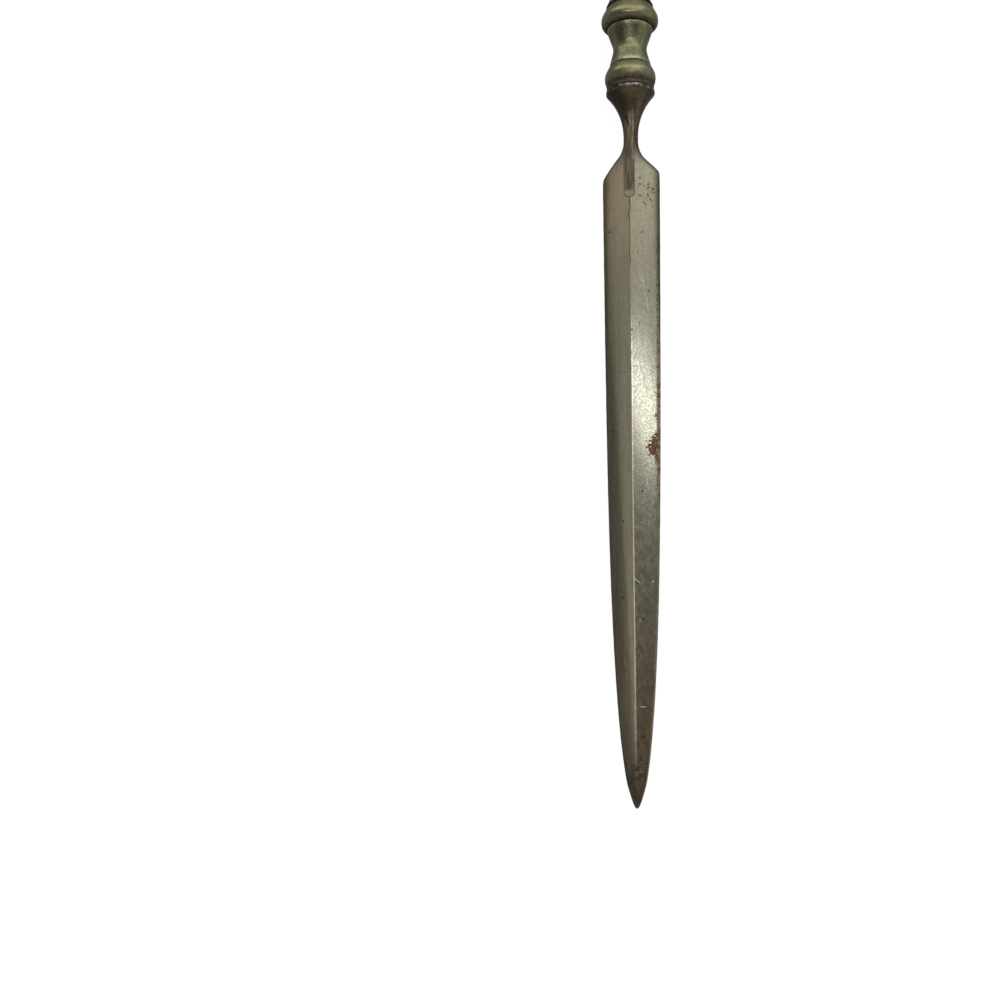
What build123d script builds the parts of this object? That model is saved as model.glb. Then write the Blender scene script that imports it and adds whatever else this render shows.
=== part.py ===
from build123d import *
import math
import os

# Letter opener. A forged steel blade carries a round tang that runs through a stack of turned brass pieces.
# The finial is screwed on the tang's end and clamps the stack against the blade's bolster.
# Sizes are in millimetres. The pieces are drawn along Y from the tip at zero, then laid on the desk together.

# Blade
blade_length = 88.6  # tip to the left shoulder corner
blade_width = 8.28  # across the shoulders
edge_narrowing = 1.43  # width that the edges lose from shoulder to tip before they round in
tip_fullness = 4.2  # power of the curve that rounds the edges in to the tip
tip_blunting = 0.05  # length missing from the sharp point
ridge_thickness = 2.2  # over both ridges at the shoulders
ridge_offset = 0.25  # how far the ridges and the tongue lie left of the axis at the shoulders
facet_foot = 0.5  # thickness that the facets would leave at the edges
edge_thickness = 0.32
edge_bevel = 0.45  # width of the narrow bevel along each edge
facet_crown = 0.035  # how far the facets bow out
blade_sections = 11  # lofted from tip to shoulders

# Shoulders, neck and tongue
left_shoulder_angle = 35  # degrees off the axis
right_shoulder_angle = 46
shoulder_round = 0.6  # run of the rounding at each shoulder corner
neck_width = 2.13
neck_length = 0.6  # straight part
neck_fillet = 3.8  # from neck to shoulder
tongue_width = 1.55
tongue_thickness = 2.24  # over the flats on both faces
tongue_reach = 8.8  # from the neck to the rounded end on the ridge
overrun = 0.05  # how far cut and joined shapes run past each other

# Bolster
flare_curve = 10  # radius of the trumpet's hollow
flare_diameter = 6.85  # trumpet under the lip
lip_diameter = 7.14
lip_height = 0.65
lip_chamfer = 0.15

# Tang and the fits on it
tang_diameter = 3
tang_clearance = 0.1  # to the bores, on the radius
thread_clearance = 0.02  # to the finial's thread, on the radius
thread_engagement = 3.6
bore_runout = 0.6  # blind bore past the tang's end

# Washer on the bolster
washer_diameter = 6.96
washer_thickness = 0.7
washer_chamfer = 0.12

# Lower bead ring
lower_ring_foot = 6.8
lower_ring_diameter = 7.48
lower_ring_top = 6.15
lower_ring_rise = 1.32  # foot to the widest point
lower_ring_curve = 1.4  # radius of the bead at its widest point
lower_ring_height = 3

# Spool
spool_lower_diameter = 6.25
spool_waist_diameter = 4.97
spool_waist_rise = 2.75
spool_waist_curve = 2.8  # radius of the hollow
spool_upper_diameter = 7
spool_height = 6.15

# Upper bead ring
upper_ring_foot = 7.1
upper_ring_diameter = 8.44
upper_ring_top = 6.5
upper_ring_rise = 1.2
upper_ring_curve = 0.95
upper_ring_height = 3.3

# Grip
grip_lower_diameter = 7.05
grip_neck_diameter = 5.8
grip_neck_rise = 3.4
grip_belly_diameter = 9.9
grip_belly_rise = 18
grip_belly_curve = 14  # radius of the belly's profile
grip_upper_diameter = 6
grip_height = 29.9

# Collar under the finial
collar_diameter = 7.4
collar_height = 1.6
collar_chamfer = 0.25

# Finial
finial_foot = 5.2
finial_diameter = 7.8
finial_flare = 3  # height of the cone under the band
finial_band = 1.5
cap_diameter = 4.4  # flat end
cap_height = 1.3  # slope from the band to the flat end

half_neck = neck_width / 2
half_blade = blade_width / 2
tang_radius = tang_diameter / 2
bore_radius = tang_radius + tang_clearance


def half_width(station):
    left = max(1 - station / blade_length, 0)
    return (half_blade - edge_narrowing / 2 * left) * math.sqrt(1 - left**tip_fullness)


def ridge_height(station):
    rise = (ridge_thickness - facet_foot) / 2
    return facet_foot / 2 + rise * half_width(station) / half_blade


def ridge_shift(station):
    return ridge_offset * station / blade_length


def blade_section(station):
    """Diamond with slightly crowned facets and a narrow bevel along both edges."""
    half = half_width(station)
    ridge = ridge_height(station)
    scale = half / half_blade
    bevel = edge_bevel * scale
    bevel_height = facet_foot / 2 + (ridge - facet_foot / 2) * bevel / half
    inner = half - bevel
    ridge_x = -ridge_shift(station)
    crown = (ridge + bevel_height) / 2 + facet_crown * scale
    edge = edge_thickness / 2
    outline = []
    for x, z in ((1, 1), (1, -1), (-1, -1), (-1, 1)):
        middle = ((ridge_x + x * inner) / 2, z * crown)
        facet = ThreePointArc((ridge_x, z * ridge), middle, (x * inner, z * bevel_height))
        outline += [facet, Line((x * inner, z * bevel_height), (x * half, z * edge))]
    for x in (1, -1):
        outline.append(Line((x * half, edge), (x * half, -edge)))
    across = Plane((0, station, 0), x_dir=(1, 0, 0), z_dir=(0, -1, 0))
    return across * make_face(outline)


def turned(outline):
    return revolve(make_face(outline), Axis.Y)


def swell(crest, end):
    """Arc that leaves a widest or narrowest point along the axis. Points are radius and station."""
    return TangentArc(crest, end, tangent=(0, math.copysign(1, end[1] - crest[1])))


def taper(crest, end, curve):
    """Arc over a crest, or round a waist where the curve is negative, and the straight taper from it to the end."""
    centre = crest[0] - curve
    across = math.copysign(end[0] - centre, curve * (end[0] - centre))
    along = end[1] - crest[1]
    turn = math.atan2(abs(along), across) - math.acos(abs(curve) / math.hypot(across, along))
    touch = (centre + curve * math.cos(turn), crest[1] + math.copysign(curve * math.sin(turn), along))
    return [swell(crest, touch), Line(touch, end)]


def bead(foot, crest, top, curve):
    """Bead ring with straight flanks, bored for the tang."""
    bore = Polyline(foot, (bore_radius, foot[1]), (bore_radius, top[1]), top)
    return turned([*taper(crest, foot, curve), *taper(crest, top, curve), bore])


def disc(diameter, chamfer, start, end):
    """Flat ring with broken edges, bored for the tang."""
    radius = diameter / 2
    corners = [
        (bore_radius, start),
        (radius - chamfer, start),
        (radius, start + chamfer),
        (radius, end - chamfer),
        (radius - chamfer, end),
        (bore_radius, end),
    ]
    return turned([Polyline(*corners, corners[0])])


# Stations along the axis, each piece seated on the one before
left_slope = math.radians(left_shoulder_angle)
left_spread = neck_fillet * (1 - math.cos(left_slope))
shoulder_run = (half_blade - half_neck - left_spread) / math.tan(left_slope)
neck_start = blade_length + shoulder_run + neck_fillet * math.sin(left_slope)
neck_middle = neck_start + neck_length / 2
neck_end = neck_start + neck_length


def flare_station(radius):
    return neck_end + math.sqrt(flare_curve**2 - (flare_curve - radius + half_neck) ** 2)


flare_end = flare_station(flare_diameter / 2)
seat_station = flare_end + lip_height
lower_ring_station = seat_station + washer_thickness
spool_station = lower_ring_station + lower_ring_height
upper_ring_station = spool_station + spool_height
grip_station = upper_ring_station + upper_ring_height
collar_station = grip_station + grip_height
finial_station = collar_station + collar_height
tang_end = finial_station + thread_engagement


def shoulder_cut(side, angle):
    """Stock removed beside the neck on one side, turned so that the shoulder runs round into the neck."""
    slope = math.radians(angle)
    foot = (half_neck + neck_fillet * (1 - math.cos(slope)), neck_start - neck_fillet * math.sin(slope))
    corner = (half_blade, foot[1] - (half_blade - foot[0]) / math.tan(slope))
    start = (corner[0] + overrun, corner[1] - shoulder_round / 2)
    rounded = (corner[0] - shoulder_round * math.sin(slope), corner[1] + shoulder_round * math.cos(slope))
    neck = (half_neck, neck_start)
    outline = [
        TangentArc(rounded, start, tangent=(math.sin(slope), -math.cos(slope))),
        Line(rounded, foot),
        TangentArc(foot, neck, tangent=(-math.sin(slope), math.cos(slope))),
        Polyline(neck, (half_neck, neck_end), (blade_width, neck_end), (blade_width, start[1]), start),
    ]
    return revolve(Rot(Y=-90 * side) * make_face(outline), Axis.Y, 180)


# Blade forging: lofted blade, turned shoulders, flat tongue, trumpet bolster and tang
sections = []
for step in range(blade_sections + 1):
    station = tip_blunting + (blade_length - tip_blunting) * (step / blade_sections) ** 2
    sections.append(blade_section(station))
shoulder_bar = extrude(blade_section(blade_length), neck_middle - blade_length, dir=(0, 1, 0))
blade_body = loft(sections) + shoulder_bar
blade_body -= shoulder_cut(-1, left_shoulder_angle)
blade_body -= shoulder_cut(1, right_shoulder_angle)

tongue_end = neck_start - tongue_reach
half_tongue = tongue_width / 2
tongue_left = -ridge_offset - half_tongue
tongue_right = half_tongue - ridge_offset
tongue_root = flare_station(math.hypot(tongue_left, tongue_thickness / 2) + overrun)
left_bend = (tongue_left, tongue_end + half_tongue)
right_bend = (tongue_right, tongue_end + half_tongue)
tongue_outline = [
    ThreePointArc(left_bend, (-ridge_offset, tongue_end), right_bend),
    Polyline(right_bend, (tongue_right, tongue_root), (tongue_left, tongue_root), left_bend),
]
tongue = extrude(make_face(tongue_outline), tongue_thickness / 2, both=True)

flare_edge = (flare_diameter / 2, flare_end)
lip_radius = lip_diameter / 2
bolster = turned(
    [
        swell((half_neck, neck_end), flare_edge),
        Polyline(
            flare_edge,
            (lip_radius, flare_end + lip_chamfer),
            (lip_radius, seat_station - lip_chamfer),
            (lip_radius - lip_chamfer, seat_station),
            (tang_radius, seat_station),
            (tang_radius, tang_end),
            (0, tang_end),
            (0, neck_middle),
            (half_neck, neck_middle),
            (half_neck, neck_end),
        ),
    ]
)
blade = blade_body + bolster + tongue

# Washer and collar
bolster_washer = disc(washer_diameter, washer_chamfer, seat_station, lower_ring_station)
top_collar = disc(collar_diameter, collar_chamfer, collar_station, finial_station)

# Bead rings
lower_ring = bead(
    (lower_ring_foot / 2, lower_ring_station),
    (lower_ring_diameter / 2, lower_ring_station + lower_ring_rise),
    (lower_ring_top / 2, spool_station),
    lower_ring_curve,
)
upper_ring = bead(
    (upper_ring_foot / 2, upper_ring_station),
    (upper_ring_diameter / 2, upper_ring_station + upper_ring_rise),
    (upper_ring_top / 2, grip_station),
    upper_ring_curve,
)

# Spool: a hollow waist between two straight flares
spool_waist = (spool_waist_diameter / 2, spool_station + spool_waist_rise)
spool_low = (spool_lower_diameter / 2, spool_station)
spool_high = (spool_upper_diameter / 2, upper_ring_station)
spool = turned(
    [
        *taper(spool_waist, spool_low, -spool_waist_curve),
        *taper(spool_waist, spool_high, -spool_waist_curve),
        Polyline(spool_low, (bore_radius, spool_station), (bore_radius, upper_ring_station), spool_high),
    ]
)

# Grip: a hollow foot, a long taper to the belly and a short one to the collar
grip_low = (grip_lower_diameter / 2, grip_station)
grip_neck = (grip_neck_diameter / 2, grip_station + grip_neck_rise)
grip_belly = (grip_belly_diameter / 2, grip_station + grip_belly_rise)
grip_high = (grip_upper_diameter / 2, collar_station)
belly_arc, long_taper = taper(grip_belly, grip_neck, grip_belly_curve)
grip = turned(
    [
        TangentArc(grip_neck, grip_low, tangent=long_taper % 1),
        long_taper,
        belly_arc,
        *taper(grip_belly, grip_high, grip_belly_curve),
        Polyline(grip_high, (bore_radius, collar_station), (bore_radius, grip_station), grip_low),
    ]
)

# Finial: a cone, a narrow band and a sloped cap, with a blind threaded bore
thread_radius = tang_radius + thread_clearance
bore_end = tang_end + bore_runout
band_start = finial_station + finial_flare
band_end = band_start + finial_band
cap_station = band_end + cap_height
finial_corners = [
    (thread_radius, finial_station),
    (finial_foot / 2, finial_station),
    (finial_diameter / 2, band_start),
    (finial_diameter / 2, band_end),
    (cap_diameter / 2, cap_station),
    (0, cap_station),
    (0, bore_end),
    (thread_radius, bore_end),
]
finial = turned([Polyline(*finial_corners, finial_corners[0])])


# Resting on the desk: rolled on to the facet beside the lower ridge, then tilted until the handle
# and the blade are level
facet_slope = math.atan2((ridge_thickness - facet_foot) / 2, half_blade)
facet_chord = (half_blade - edge_bevel) / math.cos(facet_slope)
roll = facet_slope - 2 * math.atan(2 * facet_crown / facet_chord)


def handle_low(tilt):
    """Lowest point of the grip's belly and the upper ring."""
    belly_low = grip_belly[1] * math.sin(tilt) - grip_belly[0] * math.cos(tilt)
    belly_low -= grip_belly_curve * (1 - math.cos(tilt))
    ring_low = (upper_ring_station + upper_ring_rise) * math.sin(tilt) - upper_ring_diameter / 2 * math.cos(tilt)
    return min(belly_low, ring_low)


def blade_low(tilt):
    """Lowest point of the lower ridge."""
    lowest = 0
    for step in range(101):
        station = blade_length * (step / 100) ** 2
        depth = ridge_height(station) * math.cos(roll) + ridge_shift(station) * math.sin(roll)
        lowest = min(lowest, station * math.sin(tilt) - depth * math.cos(tilt))
    return lowest


level_tilt, steep_tilt = 0, math.radians(10)
while steep_tilt - level_tilt > 1e-6:
    tilt = (level_tilt + steep_tilt) / 2
    if handle_low(tilt) < blade_low(tilt):
        level_tilt = tilt
    else:
        steep_tilt = tilt

pieces = {
    "blade": blade,
    "bolster_washer": bolster_washer,
    "lower_ring": lower_ring,
    "spool": spool,
    "upper_ring": upper_ring,
    "grip": grip,
    "top_collar": top_collar,
    "finial": finial,
}
lean = Rot(X=math.degrees(tilt)) * Rot(Y=-math.degrees(roll))
tilted = {name: lean * piece for name, piece in pieces.items()}
box = Compound(list(tilted.values())).bounding_box()
on_desk = Pos(0, -box.center().Y, -blade_low(tilt))

os.makedirs("parts", exist_ok=True)
for name, piece in tilted.items():
    export_step(on_desk * piece, f"parts/{name}.step")
print(f"length {box.size.Y:.2f}, tilt {math.degrees(tilt):.2f}, roll {math.degrees(roll):.2f} degrees")
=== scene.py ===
import math

import bpy
from mathutils import Matrix, Vector, noise


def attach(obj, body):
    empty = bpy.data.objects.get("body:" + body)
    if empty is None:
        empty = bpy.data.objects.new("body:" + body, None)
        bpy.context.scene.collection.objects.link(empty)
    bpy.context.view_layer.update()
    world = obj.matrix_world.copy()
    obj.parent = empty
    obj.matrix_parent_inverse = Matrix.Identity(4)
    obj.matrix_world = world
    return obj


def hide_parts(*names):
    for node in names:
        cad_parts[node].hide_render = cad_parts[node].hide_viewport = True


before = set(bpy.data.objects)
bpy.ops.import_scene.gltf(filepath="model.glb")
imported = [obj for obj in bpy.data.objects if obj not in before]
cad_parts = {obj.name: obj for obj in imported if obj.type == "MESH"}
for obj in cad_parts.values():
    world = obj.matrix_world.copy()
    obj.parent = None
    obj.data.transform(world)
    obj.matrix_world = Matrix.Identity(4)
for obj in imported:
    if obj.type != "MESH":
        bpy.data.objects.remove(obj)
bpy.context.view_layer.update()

mm = 0.001

# how the opener lies: rolled on to a lower facet, handle end up, tip at the low end
lie = {"tilt": 1.9598, "roll": 9.4732, "tipY": -76.1842, "tipZ": 0.4055}
lieMatrix = (
    Matrix.Scale(mm, 4)
    @ Matrix.Translation((0, lie["tipY"], lie["tipZ"]))
    @ Matrix.Rotation(math.radians(lie["tilt"]), 4, "X")
    @ Matrix.Rotation(-math.radians(lie["roll"]), 4, "Y")
)


def smoothStep(low, high, value):
    t = min(max((value - low) / (high - low), 0), 1)
    return t * t * (3 - 2 * t)


def blendTo(a, b, t):
    return a + (b - a) * t


def bell(gap, spread):
    return math.exp(-((gap / spread) ** 2))


def addObject(name, data):
    made = bpy.data.objects.new(name, data)
    bpy.context.scene.collection.objects.link(made)
    return made


# Materials

class NodeBench:
    # short ways to add and join nodes in one tree
    def __init__(self, tree):
        self.tree = tree

    def join(self, source, socket):
        self.tree.links.new(source, socket)

    def feed(self, value, socket):
        if isinstance(value, bpy.types.NodeSocket):
            self.join(value, socket)
        else:
            socket.default_value = value

    def add(self, kind, inputs=None, **settings):
        node = self.tree.nodes.new(kind)
        for key, value in settings.items():
            setattr(node, key, value)
        for key, value in (inputs or {}).items():
            self.feed(value, node.inputs[key])
        return node

    def math(self, operation, *values, clamp=False):
        inputs = dict(enumerate(values))
        return self.add("ShaderNodeMath", inputs, operation=operation, use_clamp=clamp).outputs[0]

    def times(self, a, b):
        return self.math("MULTIPLY", a, b)

    def timesPlus(self, a, factor, base):
        return self.math("MULTIPLY_ADD", a, factor, base)

    def minus(self, a, b):
        return self.math("SUBTRACT", a, b)

    def most(self, a, b):
        return self.math("MAXIMUM", a, b)

    def ramp(self, value, low, high, outLow=0.0, outHigh=1.0):
        inputs = {"Value": value, "From Min": low, "From Max": high, "To Min": outLow, "To Max": outHigh}
        return self.add("ShaderNodeMapRange", inputs, interpolation_type="SMOOTHSTEP").outputs["Result"]

    def window(self, value, low, high, soft):
        rise = self.ramp(value, low - soft, low + soft)
        fall = self.ramp(value, high - soft, high + soft, 1.0, 0.0)
        return self.times(rise, fall)

    def mixColour(self, factor, a, b):
        return self.add("ShaderNodeMix", {0: factor, 6: a, 7: b}, data_type="RGBA").outputs[2]

    def mixValue(self, factor, a, b):
        return self.add("ShaderNodeMix", {0: factor, 2: a, 3: b}, data_type="FLOAT").outputs[0]

    def coat(self, under, mask, tone, share=1):
        # a tone laid over a colour where the mask says so
        return self.mixColour(mask if share == 1 else self.times(mask, share), under, tone)

    def scaled(self, vector, scale):
        return self.add("ShaderNodeMapping", {"Vector": vector, "Scale": scale}).outputs["Vector"]

    def drawn(self, vector, degrees, size, centre=(0, 0, 0)):
        # from a centre, turned in the flat, then measured in grains of a given size
        turn = (0, 0, math.radians(degrees))
        inputs = {"Vector": vector, "Location": centre, "Rotation": turn, "Scale": size}
        return self.add("ShaderNodeMapping", inputs, vector_type="TEXTURE").outputs["Vector"]

    def noise(self, vector, scale, detail=4.0, rough=0.55):
        inputs = {"Vector": vector, "Scale": scale, "Detail": detail, "Roughness": rough}
        return self.add("ShaderNodeTexNoise", inputs).outputs["Fac"]

    def attribute(self, name):
        return self.add("ShaderNodeAttribute", attribute_name=name).outputs["Fac"]

    def group(self, tree, inputs):
        return self.add("ShaderNodeGroup", inputs, node_tree=tree).outputs

    def pieceSpace(self):
        # millimetres along the opener: X across, Y from the tip, Z over the flat
        coords = self.add("ShaderNodeTexCoord").outputs["Object"]
        place, turn, scale = lieMatrix.decompose()
        inputs = {"Vector": coords, "Location": place, "Rotation": turn.to_euler("XYZ"), "Scale": scale}
        return self.add("ShaderNodeMapping", inputs, vector_type="TEXTURE").outputs["Vector"]


def newGroup(name, inputs, outputs):
    # a shader group that takes a vector and named values, and gives named values
    tree = bpy.data.node_groups.new(name, "ShaderNodeTree")
    tree.interface.new_socket("Vector", in_out="INPUT", socket_type="NodeSocketVector")
    for label, default in inputs.items():
        tree.interface.new_socket(label, in_out="INPUT", socket_type="NodeSocketFloat").default_value = default
    for label in outputs:
        tree.interface.new_socket(label, in_out="OUTPUT", socket_type="NodeSocketFloat")
    bench = NodeBench(tree)
    return bench, bench.add("NodeGroupInput").outputs, bench.add("NodeGroupOutput").inputs


def buildTarnish():
    # blotches, fine specks and drawn-out streaks of old metal
    bench, source, sink = newGroup("tarnish", {"Blotch Size": 3.0, "Speck Size": 0.3}, ["Blotch", "Speck", "Streak"])
    vector = source["Vector"]
    lengthwise = bench.scaled(vector, (1.0, 0.05, 1.0))
    blotchScale = bench.math("DIVIDE", 1.0, source["Blotch Size"])
    speckScale = bench.math("DIVIDE", 1.0, source["Speck Size"])
    layers = [
        ("Blotch", vector, blotchScale, 5, 0.36, 0.64),
        ("Speck", vector, speckScale, 3, 0.42, 0.66),
        ("Streak", lengthwise, speckScale, 4, 0.35, 0.68),
    ]
    for name, space, scale, detail, low, high in layers:
        bench.join(bench.ramp(bench.noise(space, scale, detail, 0.5), low, high), sink[name])
    return bench.tree


def buildPits():
    # scattered round pits, dark in the middle
    bench, source, sink = newGroup("pits", {"Spacing": 0.8, "Pit Size": 0.2}, ["Pit"])
    scale = bench.math("DIVIDE", 1.0, source["Spacing"])
    cells = bench.add("ShaderNodeTexVoronoi", {"Vector": source["Vector"], "Scale": scale}).outputs
    near = bench.math("LESS_THAN", cells["Distance"], source["Pit Size"])
    chosen = bench.add("ShaderNodeSeparateColor", {"Color": cells["Color"]}).outputs["Red"]
    few = bench.math("GREATER_THAN", chosen, 0.72)
    bench.join(bench.times(near, few), sink["Pit"])
    return bench.tree


def buildHandling():
    # bright metal where hands rub, also painted highlights on the spool's rims and waist, and dirt with painted
    # shade at the seams, both broken up
    bench, source, sink = newGroup("handling", {"Wear": 0.0, "GrimeAndShade": 0.0}, ["Worn", "DirtAndShade"])
    brightPatch = bench.ramp(bench.noise(source["Vector"], 0.9, 5.0), 0.4, 0.56, 0.15, 1.0)
    bench.join(bench.times(source["Wear"], brightPatch), sink["Worn"])
    caught = bench.ramp(bench.noise(source["Vector"], 1.4, 4.0), 0.3, 0.6, 0.5, 1.0)
    bench.join(bench.times(source["GrimeAndShade"], caught), sink["DirtAndShade"])
    return bench.tree


tarnishGroup = buildTarnish()
pitsGroup = buildPits()
handlingGroup = buildHandling()


def startMaterial(name):
    material = bpy.data.materials.new(name)
    material.use_nodes = True
    return material, NodeBench(material.node_tree), material.node_tree.nodes["Principled BSDF"]


def placeTarnish(bench, vector, blotchSize, speckSize):
    made = bench.group(tarnishGroup, {"Vector": vector, "Blotch Size": blotchSize, "Speck Size": speckSize})
    return made["Blotch"], made["Speck"], made["Streak"]


def placePits(bench, vector, spacing, size):
    return bench.group(pitsGroup, {"Vector": vector, "Spacing": spacing, "Pit Size": size})["Pit"]


def placeHandling(bench, vector):
    inputs = {"Vector": vector, "Wear": bench.attribute("wear"), "GrimeAndShade": bench.attribute("grimeAndShade")}
    made = bench.group(handlingGroup, inputs)
    return made["Worn"], made["DirtAndShade"]


def addBump(bench, shader, height, distance, strength):
    bump = bench.add("ShaderNodeBump", {"Height": height, "Distance": distance, "Strength": strength})
    bench.join(bump.outputs["Normal"], shader.inputs["Normal"])


blade = {
    "length": 88.6,
    "width": 8.28,
    "narrowing": 1.43,
    "fullness": 4.2,
    "blunting": 0.05,
    "ridge": 2.2,
    "ridgeOffset": 0.25,
    "foot": 0.5,
    "edge": 0.32,
    "bevel": 0.45,
    "crown": 0.035,
    "leftShoulder": 35,
    "rightShoulder": 46,
    "shoulderRound": 0.6,
    "neck": 2.13,
    "neckLength": 0.6,
    "neckFillet": 3.8,
    "neckSweep": 4.6,
    "tongue": 1.55,
    "tongueThickness": 2.24,
    "tongueReach": 8.8,
    "tongueShares": (0.91, 0.8),
    "tongueTaper": (89.0, 95.0),
    "tongueTop": 98.2,
    "tongueWall": 12,
    "toRound": (96.4, 98.6),
    "flareCurve": 10,
    "flare": 6.85,
    "lip": 7.14,
    "lipHeight": 0.65,
    "lipChamfer": 0.15,
    "tang": 3,
    "tangEnd": 150.142,
    # wear, with the stations between which it comes or goes
    "wobble": 0.02,
    "wobbleRise": (2, 10),
    "wobbleFade": (84, 88),
    "tipWear": 0.18,
    "tipWearRun": (0.2, 3.6),
    "ridgeWear": 0.12,
    "ridgeWearRise": (0.5, 4),
    "ridgeWearFade": (44, 66),
    "ridgeWearLoss": 0.7,
    # band ground along the left edge, placed from ridge (0) to bevel (1)
    "band": 0.05,
    "bandFade": (44, 72),
    "bandLoss": 0.75,
    "bandPlace": 0.19,
    "bandShifts": [(8, 64, 0.53), (64, 84, 0.17)],
    "bandRound": (0.04, 0.18),
    "bandRoundFade": (30, 55),
    "columns": {"wall": 3, "facet": 24, "step": 3, "flat": 9},
    "sharp": 24,
}
halfBlade = blade["width"] / 2
halfNeck = blade["neck"] / 2
leftSlope = math.radians(blade["leftShoulder"])
leftSpread = blade["neckFillet"] * (1 - math.cos(leftSlope))
shoulderRun = (halfBlade - halfNeck - leftSpread) / math.tan(leftSlope)
neckStart = blade["length"] + shoulderRun + blade["neckFillet"] * math.sin(leftSlope)
neckEnd = neckStart + blade["neckLength"]
flareRise = blade["flareCurve"] - (blade["flare"] - blade["neck"]) / 2
flareEnd = neckEnd + math.sqrt(blade["flareCurve"] ** 2 - flareRise**2)
seat = flareEnd + blade["lipHeight"]
tongueEnd = neckStart - blade["tongueReach"]
tongueWide, tongueSlim = (share * blade["tongue"] / 2 for share in blade["tongueShares"])
tongueBend = tongueEnd + tongueWide

steel = {
    "pale": (0.39, 0.372, 0.274, 1),
    "warm": (0.33, 0.295, 0.195, 1),
    "dull": (0.245, 0.228, 0.16, 1),
    # bright worn metal of the scratches, also the painted highlight beside the neck's flat
    "bright": (0.52, 0.5, 0.385, 1),
    "brown": (0.375, 0.275, 0.17, 1),
    "stain": (0.10, 0.083, 0.058, 1),
    "tan": (0.46, 0.38, 0.245, 1),
    "shadow": (0.165, 0.15, 0.105, 1),
    "bronze": (0.30, 0.25, 0.15, 1),
    "tongue": (0.085, 0.067, 0.042, 1),
    "tonguePale": (0.19, 0.165, 0.108, 1),
    "bolster": (0.135, 0.1, 0.063, 1),
    "bolsterGrey": (0.22, 0.195, 0.13, 1),
    "lip": (0.085, 0.07, 0.06, 1),
    "lipWorn": (0.36, 0.33, 0.29, 1),
    # dark of pits and dirt, also the painted shade at the seams and on the sides of the neck and bolster
    "sootAndShade": (0.045, 0.033, 0.022, 1),
    "rust": (0.265, 0.135, 0.052, 1),
    "rustDark": (0.11, 0.05, 0.019, 1),
    "tipRust": (0.055, 0.038, 0.022, 1),
    # pale metal of the scratches, also the colour of the painted highlight along the ridge
    "nick": (0.75, 0.72, 0.62, 1),
}
steelGloss = {"body": 0.1, "speck": 0.15, "grain": 0.24, "marks": 0.3, "skin": 0.32, "nick": 0.5, "rust": 0.9}
steelRelief = {
    "waves": 1.5, "grain": -0.3, "marks": 0.2, "rust": 2.0, "pits": -1.0, "skin": 2.0,
    "distance": 0.00002, "strength": 0.2,
}
# where a finish fades or starts and ends, in millimetres from the tip
steelPlaces = {
    "dapple": (38.0, 48.0),
    "tan": (70.0, 84.0),
    "brownTip": (6.0, 36.0),
    "stain": (10.0, 15.0),
    "ridgeHighlight": (47.0, 67.0),
    "crack": (75.0, 85.4),
    "crackWidens": (80.0, 86.0),
    "neck": (89.5, 93.5),
    "neckShade": (90.5, 93.5),
    "neckHighlight": (91.0, 98.5),
    "outline": (93.0, 96.0),
    "tongue": (97.4, 98.4),
    "tipRust": (7.0, 14.0),
    "ochre": (7.0, 20.0),
}
# marks on the upper face: across, from the tip, half sizes, turn, strength
rustSpots = [
    (3.1, 49.1, 1.6, 2.0, 0, 0.95),
    (3.7, 46.6, 0.8, 3.4, 0, 0.55),
    (0.35, 4.6, 1.1, 2.2, 0, 0.66),
    (-0.6, 4.2, 0.7, 2.2, 0, 0.5),
    (0.0, 2.4, 0.8, 1.2, 0, 0.5),
    (2.7, 84.6, 1.5, 2.4, 0, 0.22),
]
pitSpots = [
    (1.26, 87.3, 0.27, 0.24, 0, 1.0),
    (1.8, 87.05, 0.18, 0.16, 0, 0.8),
    (2.5, 86.8, 0.34, 0.2, 30, 1.0),
    (3.1, 86.6, 0.28, 0.32, 0, 1.0),
    (1.28, 85.6, 0.3, 0.22, 0, 1.0),
    (-3.2, 80.4, 0.22, 0.22, 0, 0.7),
    (1.5, 80.1, 0.24, 0.2, 0, 0.8),
    (0.9, 77.2, 0.2, 0.22, 0, 0.7),
]
scratches = [
    (0.85, 13.45, 0.75, 0.09, 0, 1.0),
    (0.31, 30.45, 0.72, 0.1, -39, 1.0),
    (2.5, 30.3, 0.2, 0.16, 30, 0.7),
    (1.55, 58.9, 0.09, 2.5, 11.5, 1.0),
    (1.0, 60.8, 0.08, 1.7, 12, 0.9),
    (2.15, 69.5, 0.06, 2.2, 9, 0.4),
    (1.6, 73.0, 0.06, 1.8, 10, 0.35),
    (1.9, 44.0, 0.07, 1.6, 9, 0.8),
]


def spotMask(bench, space, spots):
    # union of soft ellipses, at full strength in the middle of a spot
    best = None
    for x, p, halfX, halfP, degrees, strength in spots:
        local = bench.drawn(space, degrees, (halfX, halfP, 4), (x, p, 0))
        length = bench.add("ShaderNodeVectorMath", {0: local}, operation="LENGTH").outputs["Value"]
        near = bench.times(bench.math("SUBTRACT", 1.0, length, clamp=True), strength)
        best = near if best is None else bench.most(best, near)
    return best


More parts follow.
